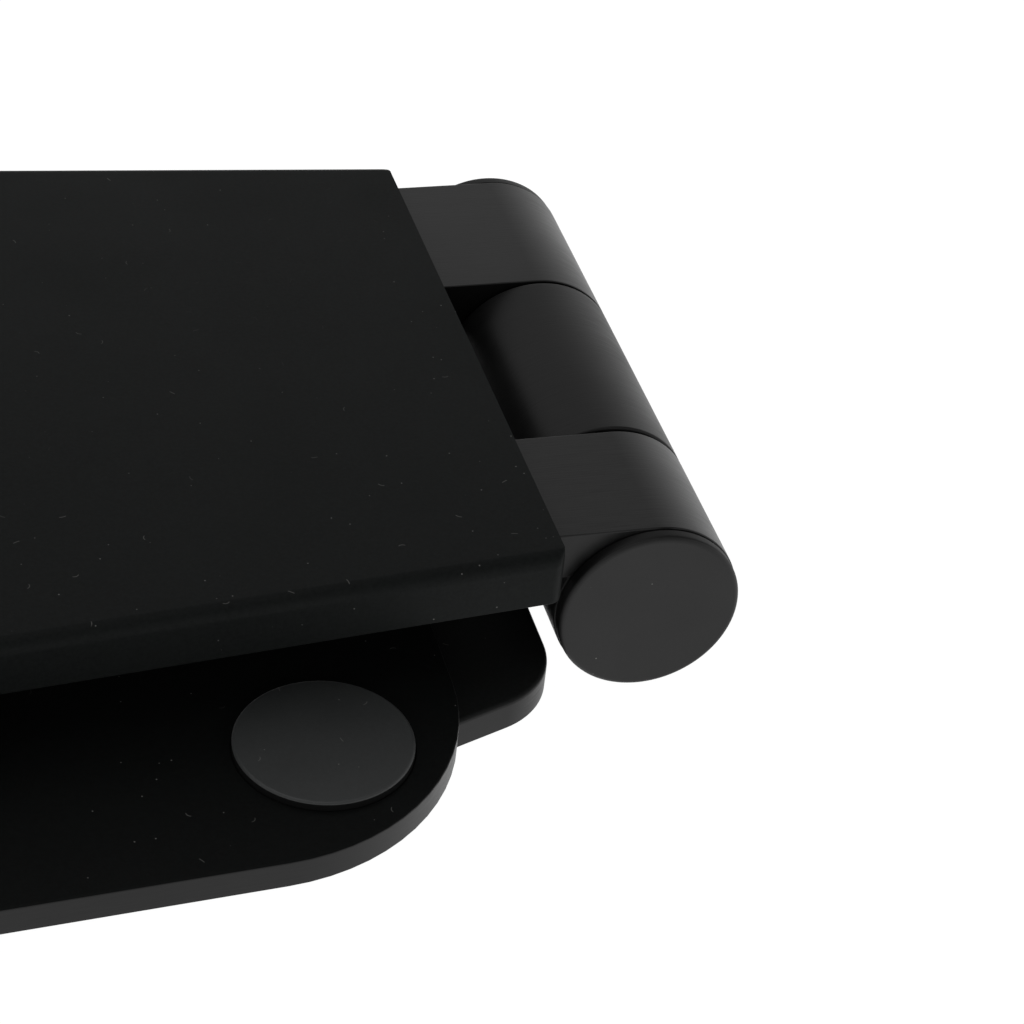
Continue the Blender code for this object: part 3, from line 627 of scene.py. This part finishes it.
def outer_section(y, inset):
    """An outer knuckle with its lug, whose flat top is tangent to the barrel."""
    radius = KNUCKLE_RADIUS - inset
    lug_bottom = BOX["backrest_shell"][0].z - LUG_DROP + inset - AXIS_Z
    lug_front = shell_rear_x(y) + GAP + inset
    meets = 180 + math.degrees(math.asin(-lug_bottom / radius))
    points = [(lug_front, AXIS_Z + lug_bottom), (lug_front, AXIS_Z + radius)]
    points += arc((AXIS_X, AXIS_Z), radius, 90, meets - 360, 96)
    return points


def backrest_bracket():
    """Both outer knuckles, joined by a tongue inside the backrest."""
    low, high = BOX["backrest_bracket"]
    liner_top = BOX["backrest_liner"][1].z
    tongue_bottom = liner_top + GAP
    tongue_top = tongue_bottom + TONGUE_THICKNESS
    shell_rear = shell_rear_x(0)
    tongue_high = (shell_rear - PAST, high.y, tongue_top)
    bracket = block("backrest_knuckles", (low.x, low.y, tongue_bottom), tongue_high)
    near = body("near_knuckle", strip_rings(outer_section, low.y, OUTER_NEAR_END, KNUCKLE_EDGE))
    far = body("far_knuckle", strip_rings(outer_section, OUTER_FAR_START, high.y, KNUCKLE_EDGE))
    shoulder_ends = (OUTER_NEAR_END - PAST, OUTER_NEAR_END + shoulder_reach("near"))
    shoulder = turned("shoulder", [(SHOULDER_RADIUS, y) for y in shoulder_ends], AXIS, True, FINE)
    combine(near, shoulder, "UNION")
    for knuckle, start, end in ((near, low.y, OUTER_NEAR_END), (far, OUTER_FAR_START, high.y)):
        combine(bracket, knuckle, "UNION")
        neck_low = (shell_rear - NECK_REACH, start + PAST, tongue_bottom)
        neck_high = (shell_rear + NECK_REACH, end - PAST, tongue_top)
        combine(bracket, block("neck", neck_low, neck_high), "UNION")
    bore(bracket, BORE_RADIUS, low.y - PAST, high.y + PAST)
    bore(bracket, COUNTERBORE_RADIUS, low.y - PAST, low.y + COUNTERBORE_DEPTH)
    bore(bracket, COUNTERBORE_RADIUS, BOX["thrust_washer"][0].y - GAP, high.y + PAST)
    # Ends that face the middle knuckle get the darker copy: painted shade in the gaps between knuckles
    for face in bracket.data.polygons:
        faces_middle = OUTER_NEAR_END - PAST < face.center.y < OUTER_FAR_START + PAST
        if abs(face.normal.y) > 0.9 and faces_middle:
            face.material_index = 1
    show(bracket, ["backrest_bracket"], [BARREL, KNUCKLE_END_PAINTED_SHADE])


def end_caps():
    """Pressed-in plastic caps with a softly rounded rim and a boss in the counterbore."""
    inner, outer = CAP_LOW.y, CAP_HIGH.y
    boss = COUNTERBORE_RADIUS - GAP
    flange = BOX["backrest_bracket"][1].y + GAP / 2
    half = [(boss - CAP_BOSS_EDGE, inner), (boss, inner + CAP_BOSS_EDGE), (boss, flange)]
    half += [(CAP_RADIUS - CAP_UNDER_EDGE, flange), (CAP_RADIUS, flange + CAP_UNDER_EDGE)]
    half += arc((CAP_RADIUS - CAP_EDGE, outer - CAP_EDGE), CAP_EDGE, 0, 90, 6)
    for side, sign in (("left", 1), ("right", -1)):
        profile = [(radius, sign * height) for radius, height in half]
        cap = turned(f"end_cap_{side}_disc", profile, AXIS, True, FINE)
        # The cap's side and rim faces get the darker copy: painted shade
        for face in cap.data.polygons:
            if abs(face.normal.y) < 0.6:
                face.material_index = 1
        show(cap, [f"end_cap_{side}"], [CAP, CAP_SIDE_PAINTED_SHADE])


# Backrest


def shell_corners(inset=0.0, rear_x=None):
    """The backrest's tapered outline moved inwards by inset, its rear end slanted or cut at rear_x."""
    low = BOX["backrest_shell"][0]
    middle_x = shell_rear_x(0)
    slant = SHELL_REAR_SLANT * SHELL_HALF_REAR if rear_x is None else 0.0
    slope = (SHELL_HALF_FRONT - SHELL_HALF_REAR) / (middle_x - low.x)
    rear_x = middle_x if rear_x is None else rear_x
    front_x = low.x + inset
    rear_half = SHELL_HALF_REAR + slope * (middle_x - rear_x) - inset
    front_half = SHELL_HALF_FRONT - slope * inset - inset
    front = SHELL_FRONT_CORNER - inset
    return [
        (rear_x - slant, rear_half, SHELL_REAR_CORNER), (rear_x + slant, -rear_half, SHELL_REAR_CORNER),
        (front_x, -front_half, front), (front_x, front_half, front),
    ]


def backrest_shell():
    """The tapered cover: long top edges softly rounded, the end at the hinge cut square."""
    low, high = BOX["backrest_shell"]
    outline = shell_corners()
    shell = slab("backrest_cover", outline, low.z, high.z, UNDER_EDGE, SHELL_EDGE_RADIUS, square_sides=(0,))
    opening = shell_corners(SHELL_WALL, high.x + PAST)
    pocket = slab("pocket", opening, low.z - PAST, high.z - SHELL_ROOF, POCKET_EDGE, POCKET_ROOF_EDGE)
    combine(shell, pocket, "DIFFERENCE")
    show(shell, ["backrest_shell"], [SHELL_BLACK], smooth=40)


def backrest_liner():
    low, high = BOX["backrest_liner"]
    corners = shell_corners(SHELL_WALL + GAP, high.x)
    liner = slab("backrest_lining", corners, low.z, high.z, LINER_EDGE, LINER_TOP_EDGE)
    show(liner, ["backrest_liner"], [LINER_FELT])


# Screws and the friction pack


def hexagon_radius(apothem, angle):
    """How far a hexagon's edge is from its centre in a direction."""
    sixth = math.pi / 3
    return apothem / math.cos((angle + sixth / 2) % sixth - sixth / 2)


def screw(name):
    """A countersunk socket screw with its thread, head down."""
    low, high = BOX[name]
    centre = Vector(((low.x + high.x) / 2, (low.y + high.y) / 2, 0))
    head = (high.x - low.x) / 2
    shank = head * SHANK
    neck = low.z + head * NECK_HEIGHT
    profile = [(shank * 0.8, high.z)]
    level = high.z - SCREW_TIP
    while level > neck + THREAD_PITCH:
        profile += [(shank, level), (shank, level - 0.1 * THREAD_PITCH)]
        profile.append((shank * 0.84, level - 0.5 * THREAD_PITCH))
        level -= THREAD_PITCH
    profile += [(shank * 0.9, neck), (head, low.z + HEAD_RIM)]
    profile += [(head, low.z + HEAD_BREAK), (head - HEAD_BREAK, low.z)]
    rings = turned_rings(profile, centre, False, SCREW_SEGMENTS)
    for height in (low.z, low.z + SOCKET_DEPTH):
        ring = []
        for i in range(SCREW_SEGMENTS):
            angle = 2 * math.pi * i / SCREW_SEGMENTS
            radius = hexagon_radius(head * SOCKET, angle)
            ring.append(centre + Vector((radius * math.cos(angle), radius * math.sin(angle), height)))
        rings.append(ring)
    show(body(f"{name}_detail", rings), [name], [SCREW_BLACK])


def friction_pack():
    """The hidden shaft, washers and nut keep their CAD shapes under turned steel and bronze."""
    for name in frame["nodes"]:
        if name.startswith("friction_washer"):
            repaint(name, BRONZE)
        elif name.startswith(("hinge_shaft", "thrust_washer", "lock_nut", "spring_washer")):
            repaint(name, STEEL)


def repaint(name, look):
    mesh = frame["nodes"][name].data
    mesh.materials.clear()
    mesh.materials.append(look)


# Stage


def studio():
    """A backlit white table in a room that is bright at the horizon, with one soft box above."""
    scene = bpy.context.scene
    scene.view_settings.view_transform = "Standard"
    scene.world = room()
    half = 12.0
    corners = [(-half, -half, 0), (half, -half, 0), (half, half, 0), (-half, half, 0)]
    mesh = bpy.data.meshes.new("table_top")
    mesh.from_pydata(corners, [], [(0, 1, 2, 3)])
    table = bpy.data.objects.new("table_top", mesh)
    scene.collection.objects.link(table)
    acrylic = bpy.data.materials.new("backlit_acrylic")
    acrylic.use_nodes = True
    shader = acrylic.node_tree.nodes["Principled BSDF"]
    shader.inputs["Base Color"].default_value = (0.02, 0.02, 0.02, 1)
    shader.inputs["Roughness"].default_value = 0.7
    shader.inputs["Emission Color"].default_value = (1, 1, 1, 1)
    shader.inputs["Emission Strength"].default_value = 1.0
    mesh.materials.append(acrylic)
    soft_box("overhead_box", (-0.1, 0.1, 0.95), 0.9, 2.0)


def room():
    """Dim overhead, and white towards the horizon like a paper sweep."""
    world = bpy.data.worlds.new("room")
    world.use_nodes = True
    tree = world.node_tree
    direction = tree.nodes.new("ShaderNodeTexCoord").outputs["Generated"]
    parts = tree.nodes.new("ShaderNodeSeparateXYZ")
    fade = tree.nodes.new("ShaderNodeMapRange")
    fade.interpolation_type = "SMOOTHSTEP"
    for key, value in {"From Min": 0.05, "From Max": 0.9, "To Min": 1.0, "To Max": 0.15}.items():
        fade.inputs[key].default_value = value
    tree.links.new(direction, parts.inputs[0])
    tree.links.new(parts.outputs["Z"], fade.inputs["Value"])
    tree.links.new(fade.outputs["Result"], tree.nodes["Background"].inputs["Strength"])
    tree.nodes["Background"].inputs["Color"].default_value = (1, 1, 1, 1)
    return world


def soft_box(name, place, size, power):
    light = bpy.data.lights.new(name, "AREA")
    light.shape = "SQUARE"
    light.size = size
    light.energy = power
    lamp = bpy.data.objects.new(name, light)
    lamp.location = place
    lamp.rotation_euler = (-Vector(place)).to_track_quat("-Z", "Y").to_euler()
    bpy.context.scene.collection.objects.link(lamp)


def camera():
    data = bpy.data.cameras.new("camera")
    data.lens = 98.44
    data.sensor_width = 36.0
    data.clip_start = 0.01
    eye = bpy.data.objects.new("camera", data)
    eye.location = (-0.02379, -0.23168, 0.18197)
    eye.rotation_euler = [math.radians(angle) for angle in (52.838, -5.312, -14.998)]
    bpy.context.scene.collection.objects.link(eye)
    bpy.context.scene.camera = eye


camera()
studio()
base_plate()
base_weight()
grip_pads_and_feet()
front_hooks()
base_hinge_bracket()
backrest_shell()
backrest_liner()
backrest_bracket()
end_caps()
for node_name in frame["nodes"]:
    if "_screw" in node_name:
        screw(node_name)
friction_pack()
